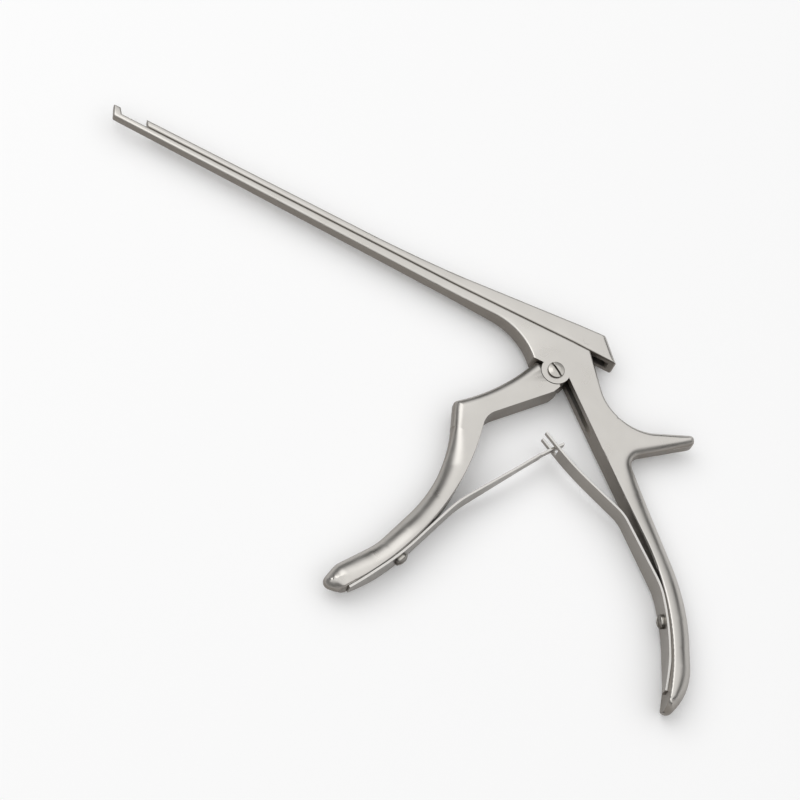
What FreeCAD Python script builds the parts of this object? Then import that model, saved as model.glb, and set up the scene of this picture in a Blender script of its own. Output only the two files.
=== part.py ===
import FreeCAD, Part
import math
import os
import re

import Sketcher

# A bone rongeur of the sliding-shaft kind. It lies on its flat side. The origin is on the pivot
# axis in the plane of the far cheek, +X runs along the shaft to the rear, +Y up through the
# slide, and +Z out of the near cheek. Every sketch is drawn about the middle plane of the
# instrument, which is half a body width above the origin.

SIZES = {
    # Frame and shaft
    "body_width": 9.4,
    "parting_height": 14.6,
    "jaw_reach": 188.5,
    "foot_lean": 36,
    "foot_height": 2.6,
    "foot_thickness": 2.9,
    "foot_front_drop": 2.3,
    "foot_round": 1.6,
    "foot_side": 0.15,
    "shaft_depth_tip": 2.4,
    "shaft_depth_mid": 2.8,
    "shaft_mid_reach": 140,
    "throat_depth": 4.4,
    "throat_reach": 18.1,
    "throat_radius": 27.5,
    "ledge_height": 0.9,
    "ledge_reach": 9.8,
    "tip_width": 3.8,
    "waist_width": 5.5,
    "waist_reach": 48,
    "waist_radius": 400,
    "flare_reach": 1,
    "flare_radius": 60,
    "boss_radius": 5.5,
    "shaft_edge_radius": 0.9,
    # Fixed handle and spur
    "grip_offset": 3.5,
    "grip_angle": 41.3,
    "grip_seat_x": 75.3,
    "grip_seat_y": -69.7,
    "grip_radius": 104,
    "grip_end_angle": 8,
    "grip_end_thickness": 4.3,
    "back_low_x": 92.7,
    "back_low_y": -90.8,
    "back_low_radius": 40,
    "back_mid_x": 80,
    "back_mid_y": -60.3,
    "back_mid_radius": 85,
    "spur_root_x": 40.6,
    "spur_root_y": -17.2,
    "spur_root_height": 5.6,
    "spur_round_radius": 1.0,
    "spur_low_x": 58.5,
    "spur_low_y": 0.1,
    "spur_high_x": 56.8,
    "spur_high_y": 3.5,
    "spur_tip_radius": 1.8,
    "saddle_x": 28.5,
    "saddle_y": -11.2,
    "saddle_radius": 19.6,
    "back_top_x": 8.3,
    "handle_round_radius": 3.5,
    "trigger_round_radius": 3.5,
    # Widths of the two handles seen from the front
    "grip_neck_depth": 35,
    "grip_neck_blend": 120,
    "grip_wide_depth": 86,
    "grip_wide_blend": 60,
    "grip_wide_width": 14,
    "grip_tongue_width": 10.8,
    "grip_tongue_corner": 5,
    "grip_tongue_depth": 102,
    # Slide
    "slide_gap": 0.05,
    "jaw_opening": 11.2,
    "slide_tip_height": 2.8,
    "slide_rise_reach": 66,
    "slide_rise_height": 3,
    "slide_rise_radius": 600,
    "slide_crown_x": 11.8,
    "slide_crown_height": 9,
    "slide_crown_radius": 3,
    "slide_rear_x": 20,
    "slide_rear_corner": 3.4,
    "slide_edge_radius": 1.1,
    # Tee rail that holds the slide on the shaft
    "rail_neck_width": 1.1,
    "rail_foot_width": 2,
    "rail_neck_depth": 0.6,
    "rail_depth": 1.25,
    "rail_clearance": 0.05,
    "rail_tip_setback": 1.2,
    "rail_rear_reach": 20,
    # Lever, its slots and the drive pin
    "web_width": 3.4,
    "web_clearance": 0.15,
    "drive_height": 17.5,
    "drive_pin_radius": 1.4,
    "drive_clearance": 0.1,
    "lever_lean": 17.6,
    "lever_half_width": 3.4,
    "lever_length": 19.6,
    "fork_depth": 3.9,
    "hub_radius": 5,
    "lever_slot_reach": 9.8,
    "lever_slot_back": 10.4,
    "slide_slot_front": 0.7,
    "slide_slot_rear": 16.5,
    "slide_slot_height": 6.8,
    # Moving handle, called the trigger
    "recess_clearance": 0.25,
    "stop_clearance": 0.2,
    "shoulder_x": -8,
    "arm_front_x": -15.7,
    "arm_front_y": -17.5,
    "arm_front_radius": 75,
    "elbow_x": -28.2,
    "elbow_y": -30.1,
    "elbow_radius": 1,
    "front_face_x": -15.2,
    "front_face_y": -65.3,
    "front_face_radius": 66,
    "trigger_toe_x": -46.2,
    "trigger_toe_y": -123.5,
    "trigger_heel_angle": -40.5,
    "trigger_seat_x": -20.6,
    "trigger_seat_y": -95.3,
    "trigger_radius": 105.5,
    "armpit_x": -15.5,
    "armpit_y": -30,
    "armpit_radius": 8,
    "arm_root_x": 2.8,
    "arm_root_y": -8.5,
    "trigger_tongue_depth": 119.4,
    # Pivot screw
    "pivot_radius": 2,
    "pivot_clearance": 0.03,
    "pivot_head_radius": 3.2,
    "pivot_head_height": 1.2,
    "pivot_head_edge": 0.7,
    "driver_slot_width": 0.8,
    "driver_slot_depth": 0.6,
    "pivot_slot_angle": 30,
    # Leaf springs
    "spring_thickness": 0.9,
    "spring_seat": 0.05,
    "spring_end_lift": 0.02,
    "spring_flare_run": 30,
    "spring_end_taper": 12,
    "spring_end_width": 3.6,
    "spring_edge_inset": 0.02,
    "rear_spring_flare_depth": 62,
    "rear_spring_end_depth": 96,
    "front_spring_flare_depth": 72,
    "front_spring_end_depth": 118,
    "spring_width": 10,
    "rear_spring_end_angle": 15.5,
    "rear_spring_lift_angle": 35,
    "rear_spring_lift_radius": 30,
    "rear_spring_bend_x": 37.6,
    "rear_spring_bend_y": -54,
    "rear_spring_bend_radius": 15,
    "rear_spring_back_x": 67.4,
    "rear_spring_back_y": 75.1,
    "rear_spring_back_radius": 115.8,
    "rear_spring_tip_x": 6.8,
    "rear_spring_tip_y": -25,
    "rear_spring_tip_angle": 149,
    "rear_spring_top_width": 7.4,
    "fork_gap_width": 3.8,
    "fork_gap_length": 7.2,
    "front_spring_end_angle": -34.6,
    "front_spring_lift_x": 36.1,
    "front_spring_lift_y": -87,
    "front_spring_lift_radius": 50,
    "front_spring_bend_x": 44.2,
    "front_spring_bend_y": -52.5,
    "front_spring_bend_radius": 40,
    "front_spring_tip_x": 14.4,
    "front_spring_tip_y": -23.9,
    "front_spring_tip_angle": 53,
    "front_spring_top_width": 4.4,
    "tongue_width": 2.8,
    "tongue_length": 9,
    # Spring screws
    "spring_screw_radius": 1.25,
    "spring_screw_head_radius": 2.7,
    "spring_screw_head_height": 2,
    "spring_screw_edge": 1.1,
    "spring_screw_depth": 3.4,
    "screw_hole_clearance": 0.05,
    "rear_screw_angle": 30.5,
    "front_screw_angle": -22.2,
}

doc = FreeCAD.newDocument("bone_rongeur")
sheet = doc.addObject("Spreadsheet::Sheet", "sizes")
for row, (name, value) in enumerate(SIZES.items(), start=1):
    sheet.set(f"A{row}", name)
    sheet.set(f"B{row}", str(value))
    sheet.setAlias(f"B{row}", name)
doc.recompute()


def named(text):
    """Put the sheet's name before every size that an expression uses."""
    return re.sub(r"[a-z_]+", lambda word: f"sizes.{word[0]}" if word[0] in SIZES else word[0], text)


def new_body(label):
    """A body whose middle plane stands half a body width above the origin."""
    body = doc.addObject("PartDesign::Body", label)
    body.Label = label
    body.setExpression("Placement.Base.z", named("body_width / 2"))
    return body


def new_sketch(body, name, plane="XY_Plane"):
    """An empty sketch on one of the body's own origin planes."""
    sketch = body.newObject("Sketcher::SketchObject", name)
    support = [item for item in body.Origin.OriginFeatures if item.Role == plane][0]
    sketch.AttachmentSupport = [(support, "")]
    sketch.MapMode = "FlatFace"
    return sketch


def bind(sketch, kind, items, text=None):
    """Add one constraint and, where a text is given, bind its value to it."""
    if text is None:
        sketch.addConstraint(Sketcher.Constraint(kind, *items))
        return
    value = sketch.evalExpression(named(text))
    index = sketch.addConstraint(Sketcher.Constraint(kind, *items, value))
    sketch.setExpression(f"Constraints[{index}]", named(text))


def fix_point(sketch, geometry, point, x_text, y_text):
    """Place a point of the sketch from its origin."""
    bind(sketch, "DistanceX", (-1, 1, geometry, point), x_text)
    bind(sketch, "DistanceY", (-1, 1, geometry, point), y_text)


def heading(start, turn_start, end, turn_end):
    """Direction of the line that leaves one round corner and meets the next.

    A round corner given by its centre has a signed radius, positive where the outline turns
    left, and the line between two of them is their common tangent.
    """
    across = end - start
    return math.atan2(across.y, across.x) - math.asin((turn_end - turn_start) / across.Length)


class Corner:
    """One corner of an outline: sharp, rounded by a radius, or an arc given by its centre."""

    def __init__(self, sketch, x_text, y_text, radius=None, kind="corner"):
        self.texts = (x_text, y_text, radius)
        self.kind = kind
        self.point = FreeCAD.Vector(sketch.evalExpression(named(x_text)),
                                    sketch.evalExpression(named(y_text)), 0)
        size = sketch.evalExpression(named(radius)) if radius else 0
        self.radius = size
        self.turn = {"corner": 0, "left": size, "right": -size}[kind]

    def touch(self, before, after):
        """The points where the lines before and after this corner end and start."""
        if self.kind != "corner":
            return [self.point - FreeCAD.Vector(-math.sin(way), math.cos(way), 0) * self.turn
                    for way in (before, after)]
        bend = math.remainder(after - before, math.tau)
        reach = self.radius * abs(math.tan(bend / 2))
        return [self.point - FreeCAD.Vector(math.cos(before), math.sin(before), 0) * reach,
                self.point + FreeCAD.Vector(math.cos(after), math.sin(after), 0) * reach]

    def arc(self, start, end, before, after):
        """The round stretch, with its end points in the order that the sketch keeps them."""
        left = math.remainder(after - before, math.tau) > 0 if self.kind == "corner" else self.turn > 0
        way = math.radians(90) if left else math.radians(-90)
        centre = start + FreeCAD.Vector(math.cos(before + way), math.sin(before + way), 0) * self.radius
        angles = [math.atan2((p - centre).y, (p - centre).x) for p in (start, end)]
        if not left:
            angles.reverse()
        circle = Part.Circle(centre, FreeCAD.Vector(0, 0, 1), self.radius)
        return Part.ArcOfCircle(circle, *angles), left


def outline(sketch, corners, closed=True):
    """Draw lines through the corners, with the round stretches tangent to them."""
    marks = [Corner(sketch, *corner) for corner in corners]
    count = len(marks)
    spans = count if closed else count - 1
    ways = [heading(marks[i].point, marks[i].turn, marks[(i + 1) % count].point,
                    marks[(i + 1) % count].turn) for i in range(spans)]
    touches = []
    for i, mark in enumerate(marks):
        ends = not closed and i in (0, count - 1)
        touches.append([mark.point] * 2 if ends else mark.touch(ways[i - 1], ways[i]))
    lines = [sketch.addGeometry(Part.LineSegment(touches[i][1], touches[(i + 1) % count][0]))
             for i in range(spans)]
    for i, mark in enumerate(marks):
        x_text, y_text, radius = mark.texts
        if not closed and i in (0, count - 1):
            fix_point(sketch, lines[0] if i == 0 else lines[-1], 1 if i == 0 else 2, x_text, y_text)
            continue
        before, after = lines[i - 1], lines[i]
        if not radius:
            bind(sketch, "Coincident", (before, 2, after, 1))
            fix_point(sketch, after, 1, x_text, y_text)
            continue
        shape, left = mark.arc(*touches[i], ways[i - 1], ways[i])
        arc = sketch.addGeometry(shape)
        first, last = (1, 2) if left else (2, 1)
        bind(sketch, "Tangent", (before, 2, arc, first))
        bind(sketch, "Tangent", (arc, last, after, 1))
        bind(sketch, "Radius", (arc,), radius)
        if mark.kind != "corner":
            fix_point(sketch, arc, 3, x_text, y_text)
            continue
        point = sketch.addGeometry(Part.Point(mark.point), True)
        fix_point(sketch, point, 1, x_text, y_text)
        bind(sketch, "PointOnObject", (point, 1, before))
        bind(sketch, "PointOnObject", (point, 1, after))
    return lines


def disc(sketch, x_text, y_text, radius):
    """Draw one circle."""
    centre = FreeCAD.Vector(sketch.evalExpression(named(x_text)), sketch.evalExpression(named(y_text)), 0)
    size = sketch.evalExpression(named(radius))
    circle = sketch.addGeometry(Part.Circle(centre, FreeCAD.Vector(0, 0, 1), size))
    fix_point(sketch, circle, 3, x_text, y_text)
    bind(sketch, "Radius", (circle,), radius)


def pad(body, sketch, length):
    """Thicken a sketch to both sides of its plane."""
    feature = body.newObject("PartDesign::Pad", sketch.Name + "_pad")
    feature.Profile = sketch
    feature.SideType = "Symmetric"
    feature.setExpression("Length", named(length))
    doc.recompute()
    return feature


def pocket(body, sketch, length, slant=None):
    """Cut a sketch away to both sides of its plane, and make sure that it cut.

    With a slant, the cut runs along that direction in the plane of the side view.
    """
    before = body.Shape.Volume
    feature = body.newObject("PartDesign::Pocket", sketch.Name + "_cut")
    feature.Profile = sketch
    feature.SideType = "Symmetric"
    feature.setExpression("Length", named(length))
    if slant:
        feature.UseCustomVector = True
        feature.setExpression("Direction.x", named(slant[0]))
        feature.setExpression("Direction.y", named(slant[1]))
        feature.Direction.z = 0
    doc.recompute()
    if not body.Shape.Volume < before:
        raise ValueError(f"{sketch.Name} cut nothing")
    return feature


def drill(body, name, radius, depth, place):
    """Cut a round hole whose axis starts at the given place."""
    before = body.Shape.Volume
    feature = body.newObject("PartDesign::SubtractiveCylinder", name)
    feature.setExpression("Radius", named(radius))
    feature.setExpression("Height", named(depth))
    for path, text in place.items():
        feature.setExpression(path, named(text))
    doc.recompute()
    if not body.Shape.Volume < before:
        raise ValueError(f"{name} cut nothing")


def soften(body, name, radius, chosen):
    """Round the edges that the test picks, and make sure that the solid stays sound."""
    tip = body.Tip
    edges = [f"Edge{i}" for i, edge in enumerate(tip.Shape.Edges, start=1) if chosen(tip.Shape, edge)]
    if not edges:
        raise ValueError(f"{name} found no edge")
    feature = body.newObject("PartDesign::Fillet", name)
    feature.Base = (tip, edges)
    feature.setExpression("Radius", named(radius))
    feature.UseAllEdges = False
    doc.recompute()
    if not body.Shape.isValid():
        raise ValueError(f"{name} left an unsound solid")
    return feature


def rim(out_x, out_y, top):
    """A test for the edges below a height where a side meets the face that looks outwards."""
    def chosen(shape, edge):
        middle = edge.valueAt((edge.FirstParameter + edge.LastParameter) / 2)
        normals = [face.normalAt(*face.Surface.parameter(middle))
                   for face in shape.ancestorsOfType(edge, Part.Face)]
        outer = any(abs(n.z) < FLAT and n.x * out_x + n.y * out_y > LOOKS_OUT for n in normals)
        return outer and any(abs(n.z) > LOOKS_OUT for n in normals) and middle.y < top
    return chosen


def size(name):
    return SIZES[name]


HALF = "body_width / 2"
FLAT = 1e-6
LOOKS_OUT = 0.3
SHAFT_END = "jaw_reach + 20"
SHAFT_TOP = "parting_height + 25"
BODY_REAR = "slide_rear_x + 8"
THROUGH = "3 * jaw_reach"
GRIP_CENTRE = ("( grip_seat_x - grip_radius * cos( rear_screw_angle * 1deg ) )",
               "( grip_seat_y - grip_radius * sin( rear_screw_angle * 1deg ) )")
TRIGGER_CENTRE = ("( trigger_seat_x - trigger_radius * cos( front_screw_angle * 1deg ) )",
                  "( trigger_seat_y - trigger_radius * sin( front_screw_angle * 1deg ) )")


def taper_sides(body, name):
    """Cut the plan shape of the shaft, narrow at the tip and flaring into the body."""
    for side, sign in (("near", ""), ("far", "-")):
        sketch = new_sketch(body, f"{name}_{side}_taper", "XZ_Plane")
        outline(sketch, [
            (f"-( {SHAFT_END} )", f"{sign}( tip_width / 2 )"),
            ("-waist_reach", f"{sign}( waist_width / 2 )", "waist_radius"),
            ("flare_reach", f"{sign}( {HALF} )", "flare_radius"),
            (BODY_REAR, f"{sign}( {HALF} )"),
            (BODY_REAR, f"{sign}( grip_wide_width )"),
            (f"-( {SHAFT_END} )", f"{sign}( grip_wide_width )"),
        ])
        pocket(body, sketch, THROUGH)


def front_shape(body, name, tongue_depth):
    """Cut the front view of a handle: straight at the top, flared low, with a rounded tongue."""
    sketch = new_sketch(body, f"{name}_front", "YZ_Plane")
    below = f"-( {tongue_depth} + body_width )"
    outline(sketch, [
        (SHAFT_TOP, "-grip_wide_width"),
        (below, "-grip_wide_width"),
        (below, "grip_wide_width"),
        (SHAFT_TOP, "grip_wide_width"),
        (SHAFT_TOP, HALF),
        ("-grip_neck_depth", HALF, "grip_neck_blend"),
        ("-grip_wide_depth", "grip_wide_width / 2", "grip_wide_blend"),
        (f"-{tongue_depth}", "grip_tongue_width / 2", "grip_tongue_corner"),
        (f"-{tongue_depth}", "-grip_tongue_width / 2", "grip_tongue_corner"),
        ("-grip_wide_depth", "-grip_wide_width / 2", "grip_wide_blend"),
        ("-grip_neck_depth", f"-{HALF}", "grip_neck_blend"),
        (SHAFT_TOP, f"-{HALF}"),
    ])
    pocket(body, sketch, THROUGH)


def reach_point(centre, radius, angle):
    """The two coordinates of the point at an angle on a circle about a centre."""
    return (f"{centre[0]} + ( {radius} ) * cos( {angle} * 1deg )",
            f"{centre[1]} + ( {radius} ) * sin( {angle} * 1deg )")


def aimed(centre, radius, angle, inwards, height="0"):
    """A placement on a circle about a centre, its own Z pointing along the radius."""
    x_text, y_text = reach_point(centre, radius, angle)
    turn = f"{angle} + 180" if inwards else angle
    return (f"create(<<placement>>; create(<<vector>>; {x_text}; {y_text}; {height});"
            f" create(<<rotation>>; {turn}; 90; 0))")


def make_frame():
    """The fixed frame: lower shaft with its footplate, body, handle and spur in one forging."""
    body = new_body("fixed_frame")
    side = new_sketch(body, "frame_side")
    foot_run = "foot_height * tan( foot_lean * 1deg )"
    end = reach_point(GRIP_CENTRE, "grip_radius + 1", "grip_end_angle")
    outline(side, [
        ("-jaw_reach", "parting_height", "0.4"),
        (f"-( jaw_reach + {foot_run} )", "parting_height + foot_height", "0.3"),
        (f"-( jaw_reach + {foot_run} + foot_thickness )", "parting_height + foot_height", "0.6"),
        (f"-( jaw_reach + {foot_run} + foot_thickness - foot_front_drop )",
         "parting_height - shaft_depth_tip", "0.8"),
        ("-shaft_mid_reach", "parting_height - shaft_depth_mid"),
        ("-throat_reach", "parting_height - throat_depth", "throat_radius"),
        ("-ledge_reach", "ledge_height"),
        ("( grip_offset - ledge_height * cos( grip_angle * 1deg ) ) / sin( grip_angle * 1deg )",
         "ledge_height"),
        (*GRIP_CENTRE, "grip_radius", "right"),
        end,
        (f"{end[0]} + grip_end_thickness", end[1]),
        ("back_low_x", "back_low_y", "back_low_radius"),
        ("back_mid_x", "back_mid_y", "back_mid_radius"),
        ("spur_root_x", "spur_root_y - spur_root_height / 2"),
        ("spur_root_x", "spur_root_y + spur_root_height / 2"),
        ("spur_low_x", "spur_low_y", "spur_tip_radius"),
        ("spur_high_x", "spur_high_y", "spur_tip_radius"),
        ("saddle_x", "saddle_y", "saddle_radius"),
        ("back_top_x", "parting_height"),
    ])
    pad(body, side, "grip_wide_width")
    boss = new_sketch(body, "frame_boss")
    disc(boss, "0", "0", "boss_radius")
    pad(body, boss, "grip_wide_width")
    taper_sides(body, "frame")
    soften(body, "frame_shaft_edges", "shaft_edge_radius", is_shaft_edge)
    round_foot(body)
    front_shape(body, "frame", "grip_tongue_depth")
    soften(body, "frame_spur_round", "spur_round_radius", is_spur_edge)
    soften(body, "frame_back_round", "handle_round_radius", rim(1, 0, size("spur_root_y") - 6))
    cut_lever_slot(body)
    cut_rail_slot(body)
    bore = new_sketch(body, "frame_bore")
    disc(bore, "0", "0", "pivot_radius + pivot_clearance")
    pocket(body, bore, "body_width + 10")
    hole = aimed(GRIP_CENTRE, "grip_radius - 1", "rear_screw_angle", False)
    drill(body, "rear_screw_hole", "spring_screw_radius + screw_hole_clearance",
          "spring_screw_depth + 1", {"Placement": hole})
    return body


def is_spur_edge(shape, edge):
    """Edges where the spur and the saddle above it meet the sides."""
    middle = edge.valueAt((edge.FirstParameter + edge.LastParameter) / 2)
    beyond = middle.x > size("spur_root_x") and middle.y > size("spur_root_y")
    top = size("parting_height")
    return beyond and any(rim(x, y, top)(shape, edge) for x, y in ((1, 0), (0, 1), (0, -1)))


def round_foot(body):
    """Round the top of the footplate as seen from the front."""
    sketch = new_sketch(body, "frame_foot", "YZ_Plane")
    low, high = "parting_height + 0.5", "parting_height + foot_height"
    side = "tip_width / 2 + foot_side"
    outline(sketch, [
        (low, "tip_width"),
        (low, side),
        (high, side, "foot_round"),
        (high, f"-( {side} )", "foot_round"),
        (low, f"-( {side} )"),
        (low, "-tip_width"),
        (f"{high} + foot_height", "-tip_width"),
        (f"{high} + foot_height", "tip_width"),
    ])
    pocket(body, sketch, THROUGH)


def cut_lever_slot(body):
    """The slot between the two cheeks, in which the trigger's lever swings."""
    slot = new_sketch(body, "frame_lever_slot")
    outline(slot, [
        ("-lever_slot_reach", "parting_height + 1"),
        ("-( hub_radius + 1.2 )", "0"),
        ("-( hub_radius + 1 )", "-8"),
        ("0", "-12"),
        ("10", "-20"),
        ("22.8", "-15.3"),
        ("lever_slot_back", "2"),
        ("lever_slot_back", "parting_height + 1"),
    ])
    pocket(body, slot, "web_width + 2 * web_clearance")


def cut_rail_slot(body):
    """The tee slot along the shaft's top that guides the slide's rail."""
    front = "-( jaw_reach - 0.5 )"
    rear = "-( lever_slot_reach - 0.5 )"
    neck = new_sketch(body, "frame_rail_neck")
    middle = "parting_height - ( rail_neck_depth + rail_depth ) / 2"
    outline(neck, [(front, middle), (rear, middle), (rear, "parting_height + 1"),
                   (front, "parting_height + 1")])
    pocket(body, neck, "rail_neck_width + 2 * rail_clearance")
    foot = new_sketch(body, "frame_rail_foot")
    floor = "parting_height - rail_depth - rail_clearance"
    roof = "parting_height - rail_neck_depth + rail_clearance"
    outline(foot, [(front, floor), (rear, floor), (rear, roof), (front, roof)])
    pocket(body, foot, "rail_foot_width + 2 * rail_clearance")


def is_shaft_edge(shape, edge):
    """Lower long edges of the shaft."""
    middle = edge.BoundBox.Center
    return edge.Length > 40 and middle.x < -40 and middle.y < size("parting_height") - 2


def make_slide():
    """The sliding upper shaft, with its tee rail below and the slot that takes the lever."""
    body = new_body("slide")
    side = new_sketch(body, "slide_side")
    bottom = "parting_height + slide_gap"
    tip = "-( jaw_reach - jaw_opening )"
    outline(side, [
        (tip, bottom),
        ("slide_rear_x", bottom, "0.8"),
        ("slide_crown_x", "parting_height + slide_crown_height", "slide_crown_radius"),
        ("-slide_rise_reach", "parting_height + slide_rise_height", "slide_rise_radius"),
        (f"{tip} - slide_tip_height * tan( foot_lean * 1deg )", "parting_height + slide_tip_height"),
    ])
    pad(body, side, "body_width")
    taper_sides(body, "slide")
    soften(body, "slide_top_round", "slide_edge_radius", rim(0, 1, SIZES["body_width"] * 3))
    slot = new_sketch(body, "slide_lever_slot")
    top = "parting_height + slide_slot_height"
    outline(slot, [
        ("slide_slot_front", "parting_height - 1"),
        ("slide_slot_rear", "parting_height - 1"),
        ("slide_slot_rear", bottom),
        ("slide_slot_rear - slide_slot_height * 0.82", top, "1"),
        ("slide_slot_front", top, "1"),
    ])
    pocket(body, slot, "web_width + 2 * web_clearance")
    hole = new_sketch(body, "slide_pin_hole")
    disc(hole, "drive_height * tan( lever_lean * 1deg )", "drive_height", "drive_pin_radius + 0.01")
    pocket(body, hole, "body_width + 4")
    round_slide_rear(body)
    front = f"{tip} + rail_tip_setback"
    rear = "-rail_rear_reach"
    neck = new_sketch(body, "slide_rail_neck")
    middle = "parting_height - ( rail_neck_depth + rail_depth ) / 2"
    top = "parting_height + slide_gap + 0.5"
    outline(neck, [(front, middle), (rear, middle), (rear, top), (front, top)])
    pad(body, neck, "rail_neck_width")
    foot = new_sketch(body, "slide_rail_foot")
    floor = "parting_height - rail_depth"
    roof = "parting_height - rail_neck_depth"
    outline(foot, [(front, floor), (rear, floor), (rear, roof), (front, roof)])
    pad(body, foot, "rail_foot_width")
    return body


def round_slide_rear(body):
    """Round the two corners of the slanted rear end by a cut along its slant."""
    run = "slide_rear_x - slide_crown_x"
    rear = f"slide_rear_x + ( parting_height + slide_gap ) * ( {run} ) / slide_crown_height"
    for side, sign in (("near", ""), ("far", "-")):
        sketch = new_sketch(body, f"slide_{side}_rear", "XZ_Plane")
        outline(sketch, [
            (f"{rear} - 8", f"{sign}( {HALF} )"),
            (rear, f"{sign}( {HALF} )", "slide_rear_corner"),
            (rear, "0"),
            (f"{rear} + 10", "0"),
            (f"{rear} + 10", f"{sign}( body_width )"),
            (f"{rear} - 8", f"{sign}( body_width )"),
        ])
        pocket(body, sketch, "jaw_reach", slant=(f"-( {run} )", "slide_crown_height"))


def make_trigger():
    """The moving handle, its arm, and the forked lever that drives the slide."""
    body = new_body("trigger")
    side = new_sketch(body, "trigger_side")
    top = "ledge_height - stop_clearance"
    outline(side, [
        ("shoulder_x", top, "0.8"),
        ("arm_front_x", "arm_front_y", "arm_front_radius"),
        ("elbow_x", "elbow_y", "elbow_radius"),
        ("front_face_x", "front_face_y", "front_face_radius"),
        ("trigger_toe_x", "trigger_toe_y"),
        reach_point(TRIGGER_CENTRE, "trigger_radius + 0.6", "trigger_heel_angle"),
        (*TRIGGER_CENTRE, "trigger_radius", "left"),
        ("armpit_x", "armpit_y", "armpit_radius"),
        ("arm_root_x", "arm_root_y"),
        ("arm_root_x + 1.3", "arm_root_y + 3.1"),
        ("0", top),
    ])
    pad(body, side, "grip_wide_width")
    front_shape(body, "trigger", "trigger_tongue_depth")
    soften(body, "trigger_front_round", "trigger_round_radius", rim(-1, 0, size("elbow_y") - 1))
    recess = "boss_radius + recess_clearance"
    drill(body, "near_recess", recess, "grip_wide_width", {"Placement.Base.z": "web_width / 2"})
    drill(body, "far_recess", recess, "grip_wide_width",
          {"Placement.Base.z": "-( web_width / 2 + grip_wide_width )"})
    hub = new_sketch(body, "trigger_hub")
    disc(hub, "0", "0", "hub_radius")
    pad(body, hub, "web_width")
    add_lever(body)
    bore = new_sketch(body, "trigger_bore")
    disc(bore, "0", "0", "pivot_radius + 0.05")
    pocket(body, bore, "web_width + 4")
    hole = aimed(TRIGGER_CENTRE, "trigger_radius + 1", "front_screw_angle", True)
    drill(body, "front_screw_hole", "spring_screw_radius + screw_hole_clearance",
          "spring_screw_depth + 1", {"Placement": hole})
    return body


def lever_point(along, across):
    """The two coordinates of a point along the lever and across it, towards the rear."""
    lean = "lever_lean * 1deg"
    return (f"( {along} ) * sin( {lean} ) + ( {across} ) * cos( {lean} )",
            f"( {along} ) * cos( {lean} ) - ( {across} ) * sin( {lean} )")


def add_lever(body):
    """The lever above the hub, and the open fork at its top that takes the drive pin."""
    lever = new_sketch(body, "trigger_lever")
    outline(lever, [
        lever_point("0", "lever_half_width"),
        (*lever_point("lever_length", "lever_half_width"), "0.8"),
        (*lever_point("lever_length", "-lever_half_width"), "0.8"),
        lever_point("0", "-lever_half_width"),
    ])
    pad(body, lever, "web_width")
    fork = new_sketch(body, "trigger_fork")
    half = "drive_pin_radius + drive_clearance"
    outline(fork, [
        (*lever_point("lever_length - fork_depth", half), "0.8"),
        lever_point("lever_length + 2", half),
        lever_point("lever_length + 2", f"-( {half} )"),
        (*lever_point("lever_length - fork_depth", f"-( {half} )"), "0.8"),
    ])
    pocket(body, fork, "web_width + 4")


def make_drive_pin():
    """The pin across the slide, pressed in and ground flush, that the fork pushes."""
    body = new_body("slide_pin")
    section = new_sketch(body, "slide_pin_section")
    disc(section, "drive_height * tan( lever_lean * 1deg )", "drive_height", "drive_pin_radius")
    pad(body, section, "body_width - 0.3")
    return body


def make_pivot_screw():
    """The slotted pivot screw, its head on the near cheek and its far end flush."""
    body = new_body("pivot_screw")
    section = new_sketch(body, "pivot_section", "XZ_Plane")
    outline(section, [
        ("0", f"-( {HALF} )"),
        ("pivot_radius", f"-( {HALF} )"),
        ("pivot_radius", HALF),
        ("pivot_head_radius", HALF),
        ("pivot_head_radius", f"{HALF} + pivot_head_edge", "0.3"),
        ("pivot_head_radius * 0.45", f"{HALF} + pivot_head_height", "3"),
        ("0", f"{HALF} + pivot_head_height"),
    ])
    revolve(body, section)
    slot = new_sketch(body, "pivot_slot", "XZ_Plane")
    floor = f"{HALF} + pivot_head_height - driver_slot_depth"
    cut_driver_slot(body, slot, floor)
    body.setExpression("Placement.Rotation.Angle", named("pivot_slot_angle * 1deg"))
    return body


def revolve(body, sketch):
    """Turn a half section about the sketch's upright axis."""
    feature = body.newObject("PartDesign::Revolution", sketch.Name + "_turned")
    feature.Profile = sketch
    feature.ReferenceAxis = (sketch, ["V_Axis"])
    feature.Angle = 360
    doc.recompute()
    return feature


def cut_driver_slot(body, sketch, floor):
    """The screwdriver slot across a head."""
    half = "driver_slot_width / 2"
    outline(sketch, [(f"-( {half} )", floor), (half, floor), (half, f"{floor} + 4"),
                     (f"-( {half} )", f"{floor} + 4")])
    pocket(body, sketch, "20")


def make_spring(label, corners, top, low, tip_depth):
    """A leaf spring bent from flat strip, cut to its front view."""
    body = new_body(label)
    strip = new_sketch(body, f"{label}_strip")
    outline(strip, corners)
    pad(body, strip, "spring_width")
    for side, sign in (("near", ""), ("far", "-")):
        sketch = new_sketch(body, f"{label}_{side}_edge", "YZ_Plane")
        outline(sketch, [
            ("-10", f"{sign}( {top} / 2 )"),
            (f"-{low} + spring_flare_run", f"{sign}( {top} / 2 )"),
            (f"-{low}", f"{sign}( spring_width / 2 - spring_edge_inset )"),
            (f"-{tip_depth} + spring_end_taper", f"{sign}( spring_width / 2 - spring_edge_inset )", "spring_end_taper"),
            (f"-{tip_depth}", f"{sign}( spring_end_width / 2 )"),
            (f"-{tip_depth} - 10", f"{sign}( spring_end_width / 2 )"),
            (f"-{tip_depth} - 10", f"{sign}( spring_width )"),
            ("-10", f"{sign}( spring_width )"),
        ])
        pocket(body, sketch, THROUGH)
    return body


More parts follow.
